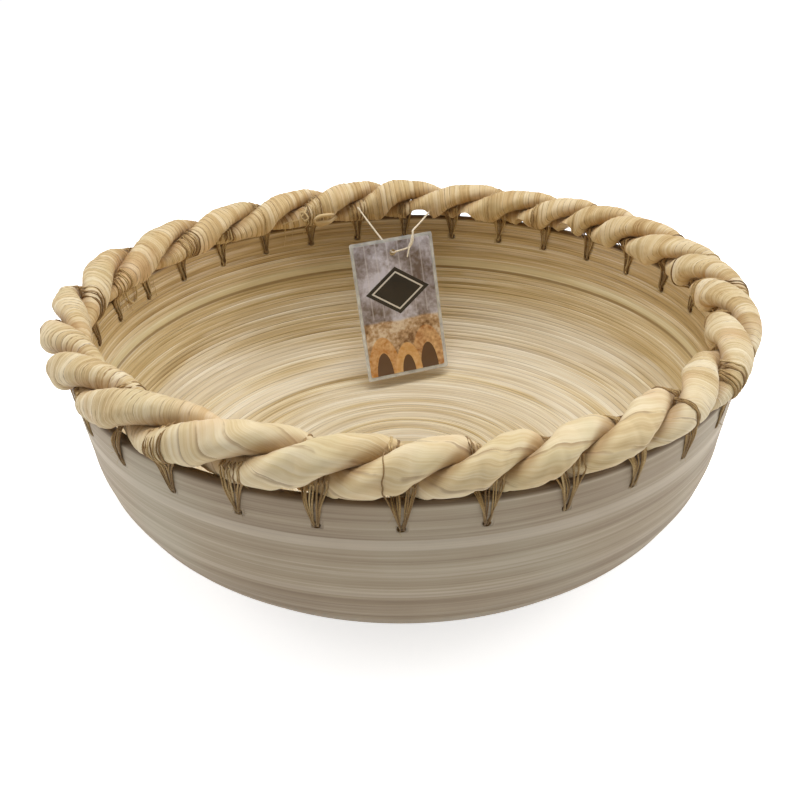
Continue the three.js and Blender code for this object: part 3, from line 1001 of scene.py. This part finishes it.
# The points of each end that lie on the rope, and those beside the wall.
end_points = [
    ([(1, 190, 1.2), (6, 198, 1.6), (11, 206, 1.8), (15, 209, 2.4)], []),
    ([(10, 206, 1.4)], [(10.6, 97, 3.0), (10.2, 92, 1.6), (11.6, 87, 0.9)]),
    ([(-1, 190, 1.2), (-2.5, 206, 1.6)], [(-3, 96, 2.0), (-2.2, 91, 1.0)])]
knot_ends = [
    [on_rope(KNOT_ANGLE, *point) for point in high]
    + [by_wall(KNOT_ANGLE, *point) for point in low] for high, low in end_points]
slack_loop = [by_wall(LOOP_ANGLE, *point) for point in (
    (6, 99, 1.5), (5.4, 94, 1.4), (3, 90.4, 1.1), (-0.6, 88.8, 1.0), (-3.6, 91, 1.1),
    (-4.4, 95, 1.4), (-3.6, 99.5, 1.8))]
loose_parts = [plied_tube(through(knot, 6), lambda share: 0.62 * MM, 2, 2.6 * MM, 10),
               plied_tube(through(slack_loop, 6), lambda share: 0.55 * MM, 2, 2.2 * MM, 8)]
loose_parts += [plied_tube(through(end, 6), lambda share: (0.42 - 0.2 * share) * MM,
                           2, 2.2 * MM, 8) for end in knot_ends]
draw = random.Random(61)
for angle in HAIR_ANGLES:
    start, length = draw.uniform(96, 99), draw.uniform(8, 16)
    hair = [by_wall(angle, draw.uniform(-0.7, 0.7), start - length * k / HAIR_STEPS, 0.9 - 0.1 * k)
            for k in range(HAIR_STEPS + 1)]
    loose_parts.append(plied_tube(through(hair, 4), lambda share: HAIR_RADIUS * MM, 1, 1, 5))
loose_jute = mesh_piece("loose_jute", *loose_parts)
store(loose_jute, "tone", [LOOSE_TONE] * len(loose_jute.data.vertices))
loose_jute.data.materials.append(jute.material)
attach(loose_jute, "bowl")

folds = [[(8.6, 206, 0.4), (8.8, 196, 0.9), (6.0, 187, 1.3), (1.5, 184, 1.3), (-5.0, 188, 0.6)]]
folds += [[(8.6 - 0.3 * i, 208 + 3 * i, 0.3), (4, 209 + 4.5 * i, 1.0 + 0.2 * (i % 2)),
           (-2, 213 + 5.5 * i, 1.2), (-7.5 - 0.5 * (i % 3), 219 + 6.5 * i, 0.5)]
          for i in range(5)]
crumpled_husk = mesh_piece("crumpled_husk", *[
    plied_tube(through([on_rope(FOLD_ANGLE, *point) for point in fold], 7),
               lambda share: FOLD_RADIUS * (0.75 + 0.4 * math.sin(math.pi * share)) * MM,
               1, 1, 10) for fold in folds])
crumpled_husk.data.materials.append(husk.material)
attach(crumpled_husk, "bowl")


# Hang tag
# A card printed in soft colours, sealed in clear film that stands out past its edges. It hangs
# by a punched hole near its top.
TAG_WIDTH = 54
TAG_HEIGHT = 88
TAG_THICKNESS = 0.5
TAG_HOLE_RADIUS = 2
TAG_HOLE_DROP = 9
TAG_TURNS = [math.radians(a) for a in (-14.2, -2.3, 17.4)]
FILM_MARGIN = 2.2
FILM_THICKNESS = 0.36
CARD_ROUNDING = 1.2
EDGE_ROUNDING = 0.3
HOLE_STEPS = 28
HORIZON = (-42, -40)
BOARD_HALF = 3.6
BOARD_SEAM = 3.2
LOZENGE_HALF = (21, 15)
LOZENGE_DROP = 24
LOZENGE_LINE = (0.74, 0.82)
# Each arch's middle, half breadth, height and colour.
ARCHES = ((-15, 11, 27, "#c07a2c"), (15, 12, 30, "#a9652c"), (1, 9, 21, "#d79c52"))
HOLLOW_BREADTH = 0.5
HOLLOW_HEIGHT = 0.62

tag_stand = (
    Matrix.Translation(Vector(TAG_HOLE_PLACE) * MM) @ Matrix.Rotation(TAG_TURNS[2], 4, "Z")
    @ Matrix.Rotation(TAG_TURNS[0], 4, "X") @ Matrix.Rotation(TAG_TURNS[1], 4, "Y"))


def rounded_rectangle(half_width, low, high, rounding, steps=6):
    """Points (across, up) along the outline of a card with rounded corners."""
    corners = [(half_width, low, -quarter), (half_width, high, 0),
               (-half_width, high, quarter), (-half_width, low, 2 * quarter)]
    points = []
    for x, z, first in corners:
        centre = (x - math.copysign(rounding, x), z + (rounding if z == low else -rounding))
        for k in range(steps + 1):
            turn = first + quarter * k / steps
            points.append((centre[0] + rounding * math.cos(turn),
                           centre[1] + rounding * math.sin(turn)))
    return points


def plate(name, rim, opening, thickness):
    """A flat sheet between an outer outline and an opening, softly rounded at its edges."""
    mesh = bmesh.new()
    edges = []
    for outline_points in (rim, opening):
        corners = [mesh.verts.new((x * MM, 0, z * MM)) for x, z in outline_points]
        edges += [mesh.edges.new((a, b)) for a, b in zip(corners, corners[1:] + corners[:1])]
    bmesh.ops.triangle_fill(mesh, use_beauty=True, use_dissolve=False, edges=edges)
    sheet = bpy.data.meshes.new(name)
    mesh.to_mesh(sheet)
    mesh.free()
    piece = add_object(name, sheet)
    thick = piece.modifiers.new("thickness", "SOLIDIFY")
    thick.thickness = thickness * MM
    thick.offset = 0
    soft = piece.modifiers.new("edges", "BEVEL")
    soft.width = thickness * MM * EDGE_ROUNDING
    soft.segments = 2
    soft.limit_method = "ANGLE"
    applied(piece)
    store(piece, "across", [v.co.x / MM for v in piece.data.vertices])
    store(piece, "up", [v.co.z / MM for v in piece.data.vertices])
    piece.data.transform(tag_stand)
    return piece


tag_low, tag_high = TAG_HOLE_DROP - TAG_HEIGHT, TAG_HOLE_DROP
hole_turns = [-TURN * k / HOLE_STEPS for k in range(HOLE_STEPS)]
hole_rim = [(TAG_HOLE_RADIUS * math.cos(turn), TAG_HOLE_RADIUS * math.sin(turn))
            for turn in hole_turns]
card_rim = rounded_rectangle(
    TAG_WIDTH / 2 - FILM_MARGIN, tag_low + FILM_MARGIN, tag_high - FILM_MARGIN, CARD_ROUNDING)
film_rim = rounded_rectangle(TAG_WIDTH / 2, tag_low, tag_high, CARD_ROUNDING)
card = plate("printed_card", card_rim, hole_rim, TAG_THICKNESS)
film = plate("film_margin", film_rim, card_rim, FILM_THICKNESS)

printed = Shader("printed_card", 0.32, Coat_Weight=0.8, Coat_Roughness=0.06)
across = printed.stored("across")
up = printed.stored("up")
grain = printed.noise(printed.place(), scale=420, detail=3)
cloud = printed.noise(printed.place(), scale=60, detail=2)
wall = printed.ramp(
    cloud * 0.7 + grain * 0.3, (0.38, "#6f5f55"), (0.5, "#a1989a"), (0.62, "#d0ccd6"))
ground = printed.ramp(
    cloud * 0.5 + grain * 0.5, (0.38, "#7f5936"), (0.5, "#c09c74"), (0.62, "#e6d3b8"))
picture = printed.mix(printed.between(up + cloud * 3, *HORIZON), ground, wall)
board = printed.calculate("PINGPONG", across, BOARD_HALF)
panel = (board > BOARD_SEAM) * (up > HORIZON[1])
picture = printed.mix(panel * 0.35, picture, "#ded9da")


def blob(middle_across, middle_up, half_across, half_up):
    """1 inside an ellipse on the card and 0 outside."""
    dx = (across - middle_across) / half_across
    dz = (up - middle_up) / half_up
    return (dx * dx + dz * dz) < 1


for middle, half, height, shade in ARCHES:
    arch = blob(middle, tag_low, half, height)
    shaded = printed.ramp(cloud * 0.4 + grain * 0.6, (0.36, shade), (0.66, "#ecc48c"))
    picture = printed.mix(arch, picture, shaded)
    hollow = blob(middle, tag_low, half * HOLLOW_BREADTH, height * HOLLOW_HEIGHT)
    picture = printed.mix(hollow, picture, "#5d3d22")
lozenge = (printed.calculate("ABSOLUTE", across) / LOZENGE_HALF[0]
           + printed.calculate("ABSOLUTE", up + LOZENGE_DROP) / LOZENGE_HALF[1])
picture = printed.mix(lozenge < 1, picture, "#23201c")
ring_line = (lozenge < LOZENGE_LINE[1]) * (lozenge > LOZENGE_LINE[0])
picture = printed.mix(ring_line, picture, "#d8d2c6")
printed.feed("Base Color", picture)
printed.feed("Roughness", 0.25 + 0.15 * grain)
card.data.materials.append(printed.material)

clear_film = Shader("clear_film", 0.12, Coat_Weight=0.5, Alpha=0.4)
film_cloud = clear_film.noise(clear_film.place(), scale=160, detail=2)
clear_film.feed("Base Color", clear_film.ramp(film_cloud, (0.3, "#c9cfd2"), (0.7, "#eef1f0")))
clear_film.feed("Alpha", 0.3 + 0.35 * film_cloud)
film.data.materials.append(clear_film.material)
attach(card, "tag")
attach(film, "tag")
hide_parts("hang_tag")


# Floor and light
# A white floor that goes on past the picture, one broad soft lamp above, a smaller one at each
# side and pale light all round.
FLOOR_HALF = 4.0
FLOOR_GLOW = 0.7
SKY_STRENGTH = 0.3
AIM = (0, 0, 0.05)

floor = mesh_piece("floor", (
    [(-FLOOR_HALF, -FLOOR_HALF, 0), (FLOOR_HALF, -FLOOR_HALF, 0),
     (FLOOR_HALF, FLOOR_HALF, 0), (-FLOOR_HALF, FLOOR_HALF, 0)], [(0, 1, 2, 3)]))
paper = Shader("white_paper", 0.9, Base_Color=(*colour("#f4f4f4"), 1))
seen = paper.node("ShaderNodeLightPath", {}, out="Is Camera Ray")
mirrored = paper.node("ShaderNodeLightPath", {}, out="Is Glossy Ray")
glow = paper.node("ShaderNodeEmission", {}, Strength=FLOOR_GLOW)
plain = Socket(paper, paper.surface.outputs[0])
chosen = paper.node(
    "ShaderNodeMixShader", {}, paper.calculate("MAXIMUM", seen, mirrored),
    plain, paper.node("ShaderNodeAddShader", {}, plain, glow))
paper.tree.links.new(chosen.output, paper.tree.nodes["Material Output"].inputs["Surface"])
floor.data.materials.append(paper.material)

world = bpy.data.worlds.new("studio")
world.use_nodes = True
tree = world.node_tree
bpy.context.scene.world = world
sky = tree.nodes["Background"]
sky.inputs["Color"].default_value = (1, 1, 1, 1)
sky.inputs["Strength"].default_value = SKY_STRENGTH
white_wall = tree.nodes.new("ShaderNodeBackground")
white_wall.inputs["Color"].default_value = (1, 1, 1, 1)
sight = tree.nodes.new("ShaderNodeLightPath")
either = tree.nodes.new("ShaderNodeMath")
either.operation = "MAXIMUM"
choice = tree.nodes.new("ShaderNodeMixShader")
for output, socket in (
        (sight.outputs["Is Camera Ray"], either.inputs[0]),
        (sight.outputs["Is Transmission Ray"], either.inputs[1]),
        (either.outputs[0], choice.inputs[0]),
        (sky.outputs[0], choice.inputs[1]),
        (white_wall.outputs[0], choice.inputs[2]),
        (choice.outputs[0], tree.nodes["World Output"].inputs["Surface"])):
    tree.links.new(output, socket)


def lamp(name, place, size, watts):
    """A soft lamp that faces the bowl."""
    light = bpy.data.lights.new(name, "AREA")
    light.shape = "RECTANGLE"
    light.size, light.size_y = size
    light.energy = watts
    stand = add_object(name, light)
    stand.location = place
    stand.rotation_euler = (Vector(AIM) - Vector(place)).to_track_quat("-Z", "Y").to_euler()


lamp("top_lamp", (0, 0.05, 1.4), (0.9, 0.7), 12.3)
lamp("left_lamp", (-1.3, 0.2, 0.66), (0.8, 0.8), 6.3)
lamp("right_lamp", (1.3, 0.2, 0.66), (0.8, 0.8), 7.9)
